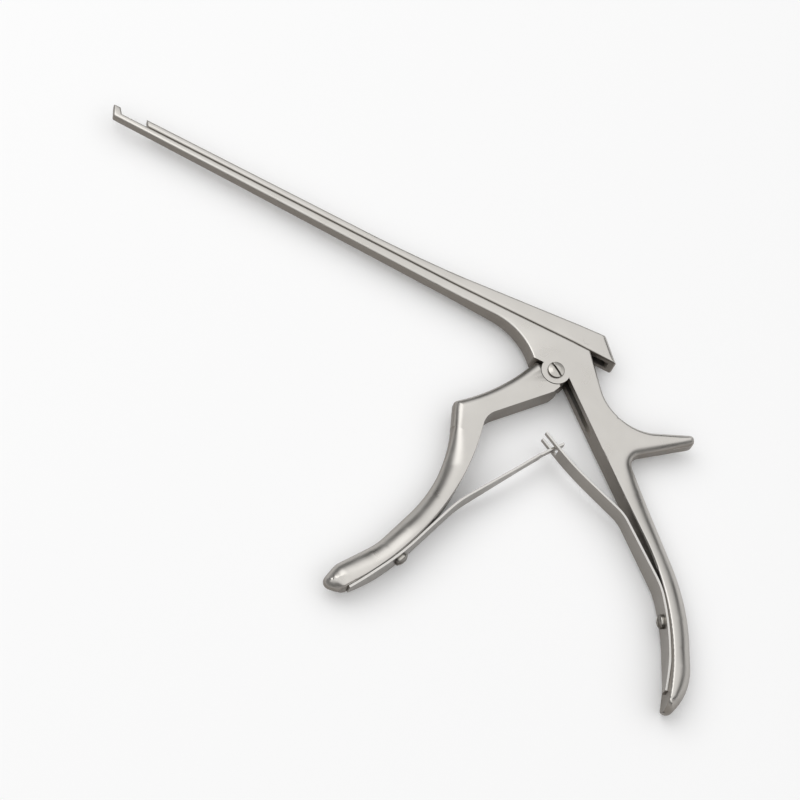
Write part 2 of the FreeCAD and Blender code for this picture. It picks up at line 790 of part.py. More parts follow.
def make_rear_spring():
    """The leaf spring screwed to the fixed handle; its forked tip straddles the other one."""
    face = "grip_radius - spring_seat"
    end = "rear_spring_end_angle"
    tip_x = "rear_spring_tip_x"
    tip_y = "rear_spring_tip_y"
    slant = "rear_spring_tip_angle * 1deg"
    lift = reach_point(GRIP_CENTRE, f"{face} - spring_thickness - rear_spring_lift_radius + spring_end_lift",
                       "rear_spring_lift_angle")
    body = make_spring("rear_spring", [
        reach_point(GRIP_CENTRE, f"{face} + spring_end_lift", end),
        (*GRIP_CENTRE, face, "left"),
        (*lift, "rear_spring_lift_radius + spring_thickness", "left"),
        ("rear_spring_bend_x", "rear_spring_bend_y",
         "rear_spring_bend_radius + spring_thickness", "left"),
        ("rear_spring_back_x", "rear_spring_back_y", "rear_spring_back_radius", "right"),
        (f"{tip_x} + spring_thickness * sin( {slant} )", f"{tip_y} - spring_thickness * cos( {slant} )"),
        (tip_x, tip_y),
        ("rear_spring_back_x", "rear_spring_back_y",
         "rear_spring_back_radius + spring_thickness", "left"),
        ("rear_spring_bend_x", "rear_spring_bend_y", "rear_spring_bend_radius", "right"),
        (*lift, "rear_spring_lift_radius", "right"),
        (*GRIP_CENTRE, f"{face} - spring_thickness", "right"),
        reach_point(GRIP_CENTRE, f"{face} - spring_thickness + spring_end_lift", end),
    ], "rear_spring_top_width",
        "rear_spring_flare_depth", "rear_spring_end_depth")
    gap = new_sketch(body, "rear_spring_fork")
    outline(gap, [
        (f"{tip_x} - 5", f"{tip_y} - 10"),
        (f"{tip_x} + fork_gap_length", f"{tip_y} - 10"),
        (f"{tip_x} + fork_gap_length", f"{tip_y} + 5"),
        (f"{tip_x} - 5", f"{tip_y} + 5"),
    ])
    pocket(body, gap, "fork_gap_width")
    hole = aimed(GRIP_CENTRE, "grip_radius - 4", "rear_screw_angle", False)
    drill(body, "rear_spring_hole", "spring_screw_radius + screw_hole_clearance", "6",
          {"Placement": hole})
    return body


def make_front_spring():
    """The leaf spring screwed to the trigger; its narrow tongue passes through the fork."""
    face = "trigger_radius + spring_seat"
    end = "front_spring_end_angle"
    tip_x = "front_spring_tip_x"
    tip_y = "front_spring_tip_y"
    slant = "front_spring_tip_angle * 1deg"
    body = make_spring("front_spring", [
        reach_point(TRIGGER_CENTRE, f"{face} + spring_thickness + spring_end_lift", end),
        (*TRIGGER_CENTRE, f"{face} + spring_thickness", "left"),
        ("front_spring_lift_x", "front_spring_lift_y", "front_spring_lift_radius", "right"),
        ("front_spring_bend_x", "front_spring_bend_y", "front_spring_bend_radius", "right"),
        (f"{tip_x} + spring_thickness * sin( {slant} )", f"{tip_y} - spring_thickness * cos( {slant} )"),
        (tip_x, tip_y),
        ("front_spring_bend_x", "front_spring_bend_y",
         "front_spring_bend_radius + spring_thickness", "left"),
        ("front_spring_lift_x", "front_spring_lift_y",
         "front_spring_lift_radius + spring_thickness", "left"),
        (*TRIGGER_CENTRE, face, "right"),
        reach_point(TRIGGER_CENTRE, f"{face} + spring_end_lift", end),
    ], "front_spring_top_width",
        "front_spring_flare_depth", "front_spring_end_depth")
    for side, sign in (("near", ""), ("far", "-")):
        sketch = new_sketch(body, f"front_spring_{side}_tongue", "YZ_Plane")
        outline(sketch, [
            (f"{tip_y} + 5", f"{sign}( tongue_width / 2 )"),
            (f"{tip_y} - tongue_length", f"{sign}( tongue_width / 2 )"),
            (f"{tip_y} - tongue_length - 2", f"{sign}( spring_width )"),
            (f"{tip_y} + 5", f"{sign}( spring_width )"),
        ])
        pocket(body, sketch, "jaw_reach")
    hole = aimed(TRIGGER_CENTRE, "trigger_radius + 4", "front_screw_angle", True)
    drill(body, "front_spring_hole", "spring_screw_radius + screw_hole_clearance", "6",
          {"Placement": hole})
    return body


def make_spring_screw(label, centre, seat, angle, inwards):
    """A slotted screw with a domed head, seated on a spring."""
    body = new_body(label)
    section = new_sketch(body, f"{label}_section", "XZ_Plane")
    outline(section, [
        ("0", "-spring_screw_depth"),
        ("spring_screw_radius", "-spring_screw_depth"),
        ("spring_screw_radius", "0"),
        ("spring_screw_head_radius", "0"),
        ("spring_screw_head_radius", "spring_screw_edge", "0.4"),
        ("spring_screw_head_radius * 0.5", "spring_screw_head_height", "2"),
        ("0", "spring_screw_head_height"),
    ])
    revolve(body, section)
    slot = new_sketch(body, f"{label}_slot", "XZ_Plane")
    cut_driver_slot(body, slot, "spring_screw_head_height - driver_slot_depth")
    body.setExpression("Placement.Base.z", None)
    body.setExpression("Placement", named(aimed(centre, seat, angle, inwards, HALF)))
    return body


def write_parts(parts):
    """Check every object of the document, then write one file for each piece."""
    doc.recompute()
    for item in doc.Objects:
        if "Invalid" in item.State or "Error" in item.State:
            raise ValueError(f"{item.Name} is in state {item.State}")
    for part in parts:
        shape = part.Shape
        if shape.isNull() or not shape.isValid() or not shape.Solids:
            raise ValueError(f"{part.Label} has no valid solid")
        box = shape.BoundBox
        print(f"{part.Label}: {len(shape.Solids)} solid, {shape.Volume:.1f} mm3,",
              f"x {box.XMin:.1f} {box.XMax:.1f} y {box.YMin:.1f} {box.YMax:.1f} z {box.ZMin:.1f} {box.ZMax:.1f}")
    os.makedirs("parts", exist_ok=True)
    for part in parts:
        part.Shape.exportStep(f"parts/{part.Label}.step")


rear_seat = "grip_radius - spring_seat - spring_thickness - spring_seat"
front_seat = "trigger_radius + spring_seat + spring_thickness + spring_seat"
write_parts([
    make_frame(),
    make_slide(),
    make_trigger(),
    make_pivot_screw(),
    make_drive_pin(),
    make_rear_spring(),
    make_front_spring(),
    make_spring_screw("rear_spring_screw", GRIP_CENTRE, rear_seat, "rear_screw_angle", True),
    make_spring_screw("front_spring_screw", TRIGGER_CENTRE, front_seat, "front_screw_angle", False),
])
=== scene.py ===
# %% [markdown]
# A bone rongeur is ground from stainless steel forgings: a fixed frame whose thin shaft ends in a
# footplate, a slide that runs along that shaft, and a trigger that drives the slide. The packed
# model already has every piece at its real size, so this lesson dresses those pieces. It gives them
# the finish of satin ground steel, polishes the two handles, and lays the whole in studio light.

# %% Load the frame and keep its size
import math

import bmesh
import bpy
import numpy as np
from mathutils import Matrix, Vector
from mathutils.geometry import delaunay_2d_cdt


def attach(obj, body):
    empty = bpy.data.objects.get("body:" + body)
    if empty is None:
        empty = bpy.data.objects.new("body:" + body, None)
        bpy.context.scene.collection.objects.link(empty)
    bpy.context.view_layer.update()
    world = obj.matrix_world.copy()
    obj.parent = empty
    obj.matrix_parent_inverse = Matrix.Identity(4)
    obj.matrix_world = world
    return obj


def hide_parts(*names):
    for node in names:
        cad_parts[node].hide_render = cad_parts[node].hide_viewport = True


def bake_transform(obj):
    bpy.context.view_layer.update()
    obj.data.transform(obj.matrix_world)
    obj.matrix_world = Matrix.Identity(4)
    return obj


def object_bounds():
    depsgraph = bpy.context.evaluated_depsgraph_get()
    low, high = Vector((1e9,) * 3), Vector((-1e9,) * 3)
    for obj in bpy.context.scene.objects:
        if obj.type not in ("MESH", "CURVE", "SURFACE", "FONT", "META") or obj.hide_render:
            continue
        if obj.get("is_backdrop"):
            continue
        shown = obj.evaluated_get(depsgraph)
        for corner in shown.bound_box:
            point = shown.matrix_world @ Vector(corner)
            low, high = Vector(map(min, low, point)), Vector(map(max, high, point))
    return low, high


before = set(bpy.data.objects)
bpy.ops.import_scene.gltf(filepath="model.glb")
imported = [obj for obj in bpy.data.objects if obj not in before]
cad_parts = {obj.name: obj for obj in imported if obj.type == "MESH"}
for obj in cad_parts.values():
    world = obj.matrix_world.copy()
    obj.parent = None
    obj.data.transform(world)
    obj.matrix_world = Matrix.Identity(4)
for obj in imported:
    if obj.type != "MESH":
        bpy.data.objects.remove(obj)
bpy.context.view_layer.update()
MM = 0.001

# %% [markdown]
# The colours below are written the way a painter reads them, as sRGB hex values. The shader works
# in linear light, so one function turns a hex value into linear numbers. Each steel has two
# colours: a light one for its flats, and a darker one for its walls that is painted shade.

# %% Colours


def linear(hex_colour):
    """Linear red, green, blue and alpha of an sRGB hex value.

    Each channel c under 0.04045 becomes c / 12.92, and any other ((c + 0.055) / 1.055) ** 2.4.
    """
    channels = np.array([int(hex_colour[i:i + 2], 16) for i in (1, 3, 5)]) / 255
    low = channels / 12.92
    high = ((channels + 0.055) / 1.055) ** 2.4
    return (*np.where(channels < 0.04045, low, high), 1.0)


STEEL_COLOUR = "#c9c6c1"
SPRING_COLOUR = "#cfcdc9"
SCREW_COLOUR = "#bdbab4"
# The wall colours are painted shade: they darken every side that turns away from the flats.
STEEL_PAINTED_WALL_SHADE = "#827c75"
SPRING_PAINTED_WALL_SHADE = "#908b85"
SCREW_PAINTED_WALL_SHADE = "#57524c"
print("steel in linear light", [round(c, 3) for c in linear(STEEL_COLOUR)])

# %% [markdown]
# A material is a small graph of nodes. This helper adds one node, sets its sockets and wires it,
# so that each material below reads as a short list.

# %% One helper for nodes


def add_node(tree, kind, settings=None, links=None, **attributes):
    """Add a node of a kind, set its input values and attributes, and link its inputs."""
    node = tree.nodes.new(kind)
    for name, value in attributes.items():
        setattr(node, name, value)
    for name, value in (settings or {}).items():
        node.inputs[name].default_value = value
    for name, socket in (links or {}).items():
        tree.links.new(socket, node.inputs[name])
    return node


def empty_material(name):
    """A node material with nothing in it, and its tree."""
    material = bpy.data.materials.new(name)
    material.use_nodes = True
    material.node_tree.nodes.clear()
    return material, material.node_tree


# %% [markdown]
# Instruments of this kind are mostly made of a hardened stainless steel such as AISI 420. Its flats
# are ground on a belt and brushed, so the eye sees a light grey metal with soft, faintly streaked
# highlights. Its side walls are given a rougher, more matt finish with a fine grain, and a darker
# colour that is painted shade. One plain metal for both would leave the walls as light as the floor
# that they reflect. So the material reads how far its surface is turned away from the flat side,
# and mixes the two finishes and the painted shade by that. Metals keep the default IOR. The grain
# is about 0.15 mm wide, drawn at 0.2 to 0.3 mm so that it shows.

# %% What a finish is made of
WALL_ROUGHNESS = 0.12
ROUGHER, SMOOTHER = 0.05, 0.04
FLAT_FROM, FLAT_TO = 0.2, 0.92
NOISE_SPAN = {"From Min": 0.3, "From Max": 0.7}
CLOUDED = 0.9
GRAIN_HEIGHT = 0.02 * MM
# The Mix node's sockets go by number, because its number, vector and colour ones share names.
MIX_SHARE, MIX_WALL_SHADE, MIX_FLAT, MIX_RESULT = 0, 6, 7, 2


def flat_share_and_wall_shade(tree, place, wide):
    """The share of the flat finish and colour, raw and clouded by wide streaks.

    It rises smoothly with the height of the surface's normal, either way up. Where it is low, the
    colour is the walls' painted shade.
    """
    facing = add_node(tree, "ShaderNodeSeparateXYZ", None, {"Vector": place.outputs["Normal"]})
    upright = add_node(tree, "ShaderNodeMath", None, {0: facing.outputs["Z"]}, operation="ABSOLUTE")
    ground = add_node(tree, "ShaderNodeMapRange", {"From Min": FLAT_FROM, "From Max": FLAT_TO},
                      {"Value": upright.outputs["Value"]}, interpolation_type="SMOOTHSTEP")
    cloud = add_node(tree, "ShaderNodeMapRange", {**NOISE_SPAN, "To Min": CLOUDED, "To Max": 1.0},
                     {"Value": wide.outputs["Fac"]})
    clouded = add_node(tree, "ShaderNodeMath", None,
                       {0: ground.outputs["Result"], 1: cloud.outputs["Result"]},
                       operation="MULTIPLY")
    return ground.outputs["Result"], clouded.outputs["Value"]


# %% [markdown]
# The springs are polished a little brighter than the frame, and the screws are turned on a lathe.
# They differ from it in colour, roughness and grain, but the graph is the same, so one function
# builds all three steels.

# %% Satin steel


def ground_steel(name, flat_colour, painted_wall_shade, roughness, grain, streak, bump):
    """Steel with light ground flats and walls darkened by painted shade, and a fine grain on both.

    grain and streak are the drawn widths in millimetres, and a texture's scale is 1 / width.
    """
    material, tree = empty_material(name)
    place = add_node(tree, "ShaderNodeTexCoord")
    spot = {"Vector": place.outputs["Object"]}
    fine = add_node(tree, "ShaderNodeTexNoise", {"Scale": 1 / (grain * MM), "Detail": 3.0}, spot)
    wide = add_node(tree, "ShaderNodeTexNoise", {"Scale": 1 / (streak * MM), "Detail": 2.0}, spot)
    ground, clouded = flat_share_and_wall_shade(tree, place, wide)
    # The walls' darker colour is painted shade, mixed in where the surface turns away from the
    # flats.
    colour = add_node(tree, "ShaderNodeMix",
                      {MIX_WALL_SHADE: linear(painted_wall_shade), MIX_FLAT: linear(flat_colour)},
                      {MIX_SHARE: clouded}, data_type="RGBA")
    matt = roughness + WALL_ROUGHNESS
    rough = add_node(tree, "ShaderNodeMapRange",
                     {**NOISE_SPAN, "To Min": matt - SMOOTHER, "To Max": matt + ROUGHER},
                     {"Value": wide.outputs["Fac"]})
    ground_rough = add_node(tree, "ShaderNodeMath", {1: -WALL_ROUGHNESS},
                            {0: ground, 2: rough.outputs["Result"]}, operation="MULTIPLY_ADD")
    relief = add_node(tree, "ShaderNodeBump", {"Strength": bump, "Distance": GRAIN_HEIGHT},
                      {"Height": fine.outputs["Fac"]})
    shader = add_node(tree, "ShaderNodeBsdfPrincipled", {"Metallic": 1.0},
                      {"Base Color": colour.outputs[MIX_RESULT],
                       "Roughness": ground_rough.outputs["Value"],
                       "Normal": relief.outputs["Normal"]})
    add_node(tree, "ShaderNodeOutputMaterial", None, {"Surface": shader.outputs["BSDF"]})
    print(name, len(tree.nodes), "nodes")
    return material


satin_steel = ground_steel("satin_stainless_steel", STEEL_COLOUR, STEEL_PAINTED_WALL_SHADE,
                           roughness=0.30, grain=0.3, streak=9.0, bump=0.25)
spring_steel = ground_steel("polished_spring_steel", SPRING_COLOUR, SPRING_PAINTED_WALL_SHADE,
                            roughness=0.20, grain=0.25, streak=6.0, bump=0.15)
screw_steel = ground_steel("turned_screw_steel", SCREW_COLOUR, SCREW_PAINTED_WALL_SHADE,
                           roughness=0.22, grain=0.2, streak=3.0, bump=0.15)

# %% [markdown]
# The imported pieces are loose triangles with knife-sharp edges, and a real forging has none. Each
# gets a copy whose doubled points are merged and whose flat faces are joined again, so that a
# narrow bevel can break the edges as a polisher does. The bevel goes where a weight says, which
# keeps it off two places: the cut where a handle joins on, and the drive pin's rim, which is ground
# flush.

# %% Merged copies
MIDDLE_HEIGHT = 4.7
SHARP = math.radians(32)
FLAT = math.radians(0.3)
DOUBLED = 0.002 * MM
PIN_AXIS = Vector((5.55, 17.5)) * MM
PIN_RADIUS = 1.4 * MM
NEAR_PIN = 0.1 * MM
NEAR_SEAM = 0.01 * MM
ON_CUT = 0.001 * MM


def on_seam(edge, cut):
    """Whether an edge lies in the plane that a piece was cut by."""
    if not cut:
        return False
    point, normal = cut
    return all(abs((vert.co - Vector(point) * MM).dot(Vector(normal))) < NEAR_SEAM
               for vert in edge.verts)


def around_pin(edge):
    """Whether an edge is the rim of the drive pin or of its hole."""
    return all(abs((vert.co.xy - PIN_AXIS).length - PIN_RADIUS) < NEAR_PIN for vert in edge.verts)


def merged_copy(node, cut=None):
    """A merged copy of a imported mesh, kept on the near side of a plane (point in mm, normal)."""
    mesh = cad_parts[node].data.copy()
    shape = bmesh.new()
    shape.from_mesh(mesh)
    bmesh.ops.remove_doubles(shape, verts=shape.verts, dist=DOUBLED)
    if cut:
        point, normal = cut
        parts = [*shape.verts, *shape.edges, *shape.faces]
        made = bmesh.ops.bisect_plane(shape, geom=parts, dist=ON_CUT, plane_co=Vector(point) * MM,
                                      plane_no=normal, clear_outer=True)
        rim = [item for item in made["geom_cut"] if isinstance(item, bmesh.types.BMEdge)]
        bmesh.ops.holes_fill(shape, edges=rim, sides=0)
    bmesh.ops.dissolve_limit(shape, angle_limit=FLAT, verts=shape.verts, edges=shape.edges)
    weight = shape.edges.layers.float.new("bevel_weight_edge")
    for edge in shape.edges:
        sharp = edge.calc_face_angle(0) > SHARP
        edge[weight] = float(sharp and not on_seam(edge, cut) and not around_pin(edge))
    shape.to_mesh(mesh)
    shape.free()
    return mesh


# %% [markdown]
# A piece is finished in one way: smooth faces, sharp corners kept, a material, and then either the
# narrow bevel or, on the polished handles, normals that follow the larger faces.

# %% Finished pieces


def finished(name, mesh, material, slot, edge, *nodes):
    """An object with smooth faces and a material, its edges broken by a bevel of a width in mm."""
    mesh.name = name
    mesh.shade_smooth()
    mesh.set_sharp_from_angle(angle=SHARP)
    mesh.materials.clear()
    mesh.materials.append(material)
    piece = bpy.data.objects.new(name, mesh)
    bpy.context.scene.collection.objects.link(piece)
    if edge:
        bevel = piece.modifiers.new("edge", "BEVEL")
        bevel.width = edge * MM
        bevel.segments = 2
        bevel.limit_method = "WEIGHT"
        bevel.harden_normals = True
    else:
        flats = piece.modifiers.new("flats", "WEIGHTED_NORMAL")
        flats.keep_sharp = True
    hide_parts(*nodes)
    print(name, len(mesh.polygons), "faces")
    return piece


# %% [markdown]
# Two small pieces need more than a finish. The drive pin is ground flush with the slide, and the
# pivot screw shows a deep, dark driver slot that stands at a slant. Both are reshaped in their
# copies, about their own axes, so that they stay where the model has them.

# %% Pin and pivot screw
PIN_STRETCH = 1.042
SLOT_FLOOR = 10.0
SLOT_DEEPER = 0.8
SLOT_TURN = 28
NEAR_FLOOR = 0.05


def ground_flush(mesh):
    """Lengthen the drive pin about the middle plane until its ends lie flush in the slide."""
    middle = Matrix.Translation((0, 0, MIDDLE_HEIGHT * MM))
    mesh.transform(middle @ Matrix.Diagonal((1, 1, PIN_STRETCH, 1)) @ middle.inverted())


def deeply_slotted(mesh):
    """Deepen the driver slot so that it reads dark, and turn the screw to the slant it has."""
    spots = np.empty(3 * len(mesh.vertices), np.float32)
    mesh.vertices.foreach_get("co", spots)
    spots = spots.reshape(-1, 3)
    spots[np.abs(spots[:, 2] / MM - SLOT_FLOOR) < NEAR_FLOOR, 2] -= SLOT_DEEPER * MM
    mesh.vertices.foreach_set("co", spots.ravel())
    mesh.transform(Matrix.Rotation(math.radians(SLOT_TURN), 4, "Z"))


# %% [markdown]
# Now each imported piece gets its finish. It rides on the body that its node is on. The frame and
# the trigger are cut where their polished handles join on.

# %% Dress the pieces
FRAME_SEAM_X = 28
TRIGGER_SEAM_Y = -40
FRAME_SEAM = ((FRAME_SEAM_X, 0, 0), (1, 0, 0))
TRIGGER_SEAM = ((0, TRIGGER_SEAM_Y, 0), (0, -1, 0))
RESHAPED = {"slide_pin": ground_flush, "pivot_screw": deeply_slotted}
# Each node's body, material, material slot, width of its broken edges in mm, and cut.
FINISHES = {
    "fixed_frame": ("frame", satin_steel, "satin_steel", 0.08, FRAME_SEAM),
    "slide": ("slide", satin_steel, "satin_steel", 0.06, None),
    "trigger": ("trigger", satin_steel, "satin_steel", 0.12, TRIGGER_SEAM),
    "pivot_screw": ("frame", screw_steel, "screw_steel", 0.05, None),
    "slide_pin": ("slide", satin_steel, "screw_steel", 0.05, None),
    "rear_spring_screw": ("frame", screw_steel, "screw_steel", 0.05, None),
    "front_spring_screw": ("trigger", screw_steel, "screw_steel", 0.05, None),
}
for node, (body, material, slot, edge, seam) in FINISHES.items():
    mesh = merged_copy(node, seam)
    if node in RESHAPED:
        RESHAPED[node](mesh)
    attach(finished(f"{node}_finish", mesh, material, slot, edge, node), body)

# %% [markdown]
# Below the pivot both handles are hand polished: flat on the inside where the spring lies, and
# swelling on the outside so that they sit in the palm. A bevel keeps one width, and this rounding
# doesn't. It is a height above the middle plane that falls away towards the outline, so it is
# worked out on a plan. First come the lines that a plan is drawn with.

# %% Lines on a plan
FINE_STEP = 0.1
X, Y = 0, 1
ABOVE, BELOW = 1, -1
ARC_POINTS = 400


def spaced(points, step):
    """The same line with points at an even step along it, both ends kept."""
    runs = np.linalg.norm(np.diff(points, axis=0), axis=1)
    along = np.concatenate([[0], np.cumsum(runs)])
    even = np.linspace(0, along[-1], max(2, round(along[-1] / step) + 1))
    return np.column_stack([np.interp(even, along, points[:, axis]) for axis in (X, Y)])


def rounded_path(corners):
    """Points 0.1 mm apart along a path whose inner corners (x, y, radius) are tangent arcs.

    The arc at a corner starts one reach, radius times the tangent of half the bend, before it.
    """
    points = np.array([corner[:2] for corner in corners], float)
    runs = [points[0]]
    for before, corner, after in zip(points, corners[1:-1], points[2:]):
        here = np.array(corner[:2], float)
        arrive = (here - before) / np.linalg.norm(here - before)
        leave = (after - here) / np.linalg.norm(after - here)
        bend = math.atan2(arrive[0] * leave[1] - arrive[1] * leave[0], arrive @ leave)
        radius = corner[2]
        start = here - arrive * radius * math.tan(abs(bend) / 2)
        side = np.array([-arrive[1], arrive[0]]) * math.copysign(1, bend)
        count = max(3, int(abs(bend) * radius / FINE_STEP))
        angles = np.linspace(0, abs(bend), count)[:, None]
        runs.append(start + radius * (np.sin(angles) * arrive + (1 - np.cos(angles)) * side))
    runs.append(points[-1])
    return spaced(np.vstack(runs), FINE_STEP)


def arc_line(centre, radius, start, end):
    """Points along an arc from one angle to another, in degrees."""
    angles = np.radians(np.linspace(start, end, ARC_POINTS))
    return np.asarray(centre) + radius * np.column_stack([np.cos(angles), np.sin(angles)])


def clipped(line, axis, limit, side):
    """The stretch of a line above or below a limit, with one end exactly on it."""
    keep = np.flatnonzero(side * (line[:, axis] - limit) > 0)
    first, last = keep[0], keep[-1]
    inside, outside = (first, first - 1) if first > 0 else (last, last + 1)
    share = (limit - line[inside, axis]) / (line[outside, axis] - line[inside, axis])
    crossing = line[inside] + share * (line[outside] - line[inside])
    kept = line[first:last + 1]
    return np.vstack([crossing, kept] if first > 0 else [kept, crossing])


# %% [markdown]
# Three measures turn such lines into a surface: how far a point is from a line, which way is
# inward, and how far a rounded face has dropped at that distance.

# %% Measures on a plan
PARTS = 12


def nearest(points, line):
    """The distance from each point to a finely spaced line, and the index of its nearest point.

    The distances are worked out in parts, to spare memory.
    """
    parts = np.array_split(points, PARTS)
    gaps = [np.linalg.norm(part[:, None] - line[None], axis=2) for part in parts]
    return (np.concatenate([gap.min(axis=1) for gap in gaps]),
            np.concatenate([gap.argmin(axis=1) for gap in gaps]))


def inward(line):
    """Unit normals on the left of a line."""
    way = np.gradient(line, axis=0)
    way /= np.linalg.norm(way, axis=1)[:, None]
    return np.column_stack([-way[:, 1], way[:, 0]])


def fall(distance, reach, depth, swell=0):
    """How far a rounded face has dropped at a distance from its edge.

    With u falling from 1 at the edge to 0 at the reach, the drop is the depth times a mix of the
    parabola u squared, for a broad soft swell, and a quarter ellipse, for a round edge. swell is
    the share of the parabola.
    """
    along = 1 - np.minimum(distance / reach, 1)
    return depth * (swell * along ** 2 + (1 - swell) * (1 - np.sqrt(1 - along ** 2)))


def stations(line, marks):
    """Values along a line, changing evenly between marks given as (x, y, value)."""
    places = [int(np.argmin(np.linalg.norm(line - np.array(mark[:2]), axis=1))) for mark in marks]
    return np.interp(np.arange(len(line)), places, [mark[2] for mark in marks])


# %% [markdown]
# The plan is filled with points: rows that follow the outline, close together where the face is
# steep, and a plain grid where it is flat. Blender's constrained Delaunay function joins them into
# triangles without crossing the outline.

# %% Points on the plan
ROW_STEP = 0.8
GRID_STEP = 1.5
OUTER_ROW_ANGLES = np.radians([15, 30, 45, 60, 75, 90])
INNER_ROW_ANGLES = np.radians([30, 60, 90])
CLEAR_OF_ROWS = 0.3
CLEAR_OF_RIM = 0.9
ON_RIM = 0.05
OWN_SHARE, OWN_SLACK = 0.85, 0.02
PAST_ROUNDING = 0.6


def closed_outline(inner, outer):
    """The ring of points round the handle, and the seam that closes it.

    The two lines meet at the handle's low end, and the seam joins their other ends.
    """
    rim_inner, rim_outer = spaced(inner, ROW_STEP), spaced(outer, ROW_STEP)
    meets = np.linalg.norm(inner[-1] - outer[0]) < FINE_STEP
    first, second = (rim_inner, rim_outer) if meets else (rim_outer, rim_inner)
    ends = np.array([second[-1], first[0]])
    ring = np.vstack([first[:-1], second[:-1], spaced(ends, ROW_STEP)[:-1]])
    return ring, spaced(ends, FINE_STEP)


def rows_along(line, widths, angles, other, seam, trim):
    """Points in rows beside a line, width * (1 - cos angle) inside it, without each row's ends.

    Those too near to the other line, the seam or another stretch of their own line are left out.
    """
    rim = spaced(line, ROW_STEP)
    width = np.interp(np.linspace(0, 1, len(rim)), np.linspace(0, 1, len(line)), widths)
    rows = []
    for angle in angles:
        offset = width * (1 - math.cos(angle))
        row = rim + inward(rim) * offset[:, None]
        rows.append(np.column_stack([row, offset])[trim:-trim])
    rows = np.vstack(rows)
    places, offset = rows[:, :2], rows[:, 2]
    own = nearest(places, line)[0] > np.maximum(OWN_SHARE * offset - OWN_SLACK, ON_RIM)
    clear = nearest(places, other)[0] > CLEAR_OF_ROWS
    return places[own & clear & (nearest(places, seam)[0] > ON_RIM)]


def grid_between(ring, inner, outer, seam, reach):
    """A plain grid over the flat of the plan, clear of its lines and of the rounding."""
    low, high = ring.min(axis=0), ring.max(axis=0)
    x, y = np.meshgrid(*(np.arange(low[axis], high[axis], GRID_STEP) for axis in (X, Y)))
    grid = np.column_stack([x.ravel(), y.ravel()])
    gap_outer, index = nearest(grid, outer)
    gap = np.minimum(np.minimum(gap_outer, nearest(grid, inner)[0]), nearest(grid, seam)[0])
    return grid[(gap > CLEAR_OF_RIM) & (gap_outer > reach[index] + PAST_ROUNDING)]


# %% [markdown]
# The polished face is then one function of the plan: half the handle's width as seen from the
# front, less the fall near the outer edge and a small broken edge along the flat inside. The far
# face mirrors the near one, and a wall joins the two along the outline.

# %% The polished face
SWELL = 0.6
SWELL_GROWS_OVER = 15


def half_width(y, widths):
    """Half the handle's width at a height y, from its front view."""
    order = np.argsort(widths[:, 0])
    return np.interp(y, widths[order, 0], widths[order, 1])


def face_height(plan, inner, outer, seam, reach, depth, edge, widths):
    """The height of the polished face above the middle plane, at every point of the plan.

    It is half width - fall(outer line) - fall(inner line). The swell grows from none at the seam.
    """
    gap_outer, index = nearest(plan, outer)
    gap_inner, inner_index = nearest(plan, inner)
    gap_outer[gap_outer < FINE_STEP] = 0
    gap_inner[gap_inner < FINE_STEP] = 0
    height = half_width(plan[:, 1], widths)
    swell = SWELL * np.minimum(nearest(outer, seam)[0] / SWELL_GROWS_OVER, 1)
    height = height - fall(gap_outer, reach[index], depth[index] * height, swell[index])
    return height - fall(gap_inner, edge[inner_index], edge[inner_index])


def closed_shell(plan, faces, height, count):
    """A closed mesh: the near sheet, its mirror image, and a wall round the first count points."""
    near = np.column_stack([plan, MIDDLE_HEIGHT + height])
    far = np.column_stack([plan, MIDDLE_HEIGHT - height])
    total = len(plan)
    near_faces = [tuple(face) for face in faces]
    far_faces = [tuple(total + i for i in face[::-1]) for face in faces]
    walls = [(i, i + total, (i + 1) % count + total, (i + 1) % count) for i in range(count)]
    mesh = bpy.data.meshes.new("handle")
    mesh.from_pydata((np.vstack([near, far]) * MM).tolist(), [], near_faces + far_faces + walls)
    shape = bmesh.new()
    shape.from_mesh(mesh)
    bmesh.ops.recalc_face_normals(shape, faces=shape.faces)
    shape.to_mesh(mesh)
    shape.free()
    return mesh


# %% [markdown]
# One function takes a handle from its two lines to a closed mesh, so both are made alike.

# %% One polished handle
REACH_SHARE = 0.82
NARROW_REACH = 4.1
MERGED_WITHIN = 1e-4
INSIDE_ONLY = 1


def polished_handle(inner, outer, reach, depth, edge, widths):
    """A closed handle from its inner and outer line, each drawn with the steel on its left.

    reach and depth give, for every point of the outer line, the width and the drop of its rounding,
    and edge gives the radius that breaks the inner edge. The reach ends short of the inner line.
    """
    across, _ = nearest(outer, inner)
    reach = np.minimum(reach, np.maximum(REACH_SHARE * across, NARROW_REACH))
    ring, seam = closed_outline(inner, outer)
    plan = np.vstack([
        ring,
        rows_along(outer, reach, OUTER_ROW_ANGLES, inner, seam, trim=2),
        rows_along(inner, edge, INNER_ROW_ANGLES, outer, seam, trim=1),
        grid_between(ring, inner, outer, seam, reach)])
    count = len(ring)
    borders = [(i, (i + 1) % count) for i in range(count)]
    plan, _, faces, *_ = delaunay_2d_cdt([Vector(p) for p in plan], borders, [], INSIDE_ONLY,
                                         MERGED_WITHIN)
    plan = np.array(plan)
    height = face_height(plan, inner, outer, seam, reach, depth, edge, widths)
    print("a handle of", len(faces), "triangles a side")
    return closed_shell(plan, faces, height, count)


# %% [markdown]
# The fixed handle carries the finger spur. Its inside is a straight line from the body that runs
# into an arc, and its back swells most at mid height, where the palm lies. The spur keeps a
# narrower rounding. Seen from the front the handle widens from the body to just above its end.

# %% Fixed handle with its spur
GRIP_WIDTHS = rounded_path([(40, 4.7), (-35, 4.7, 120), (-86, 6.95, 60), (-125, 5.4)])
GRIP_CENTRE = (-14.31, -122.48)
GRIP_RADIUS = 104
GRIP_START = (4.28, 0.9)
TANGENT_ANGLE = 47.9
GRIP_LAST_ANGLE = 8
END_DEPTH = -102

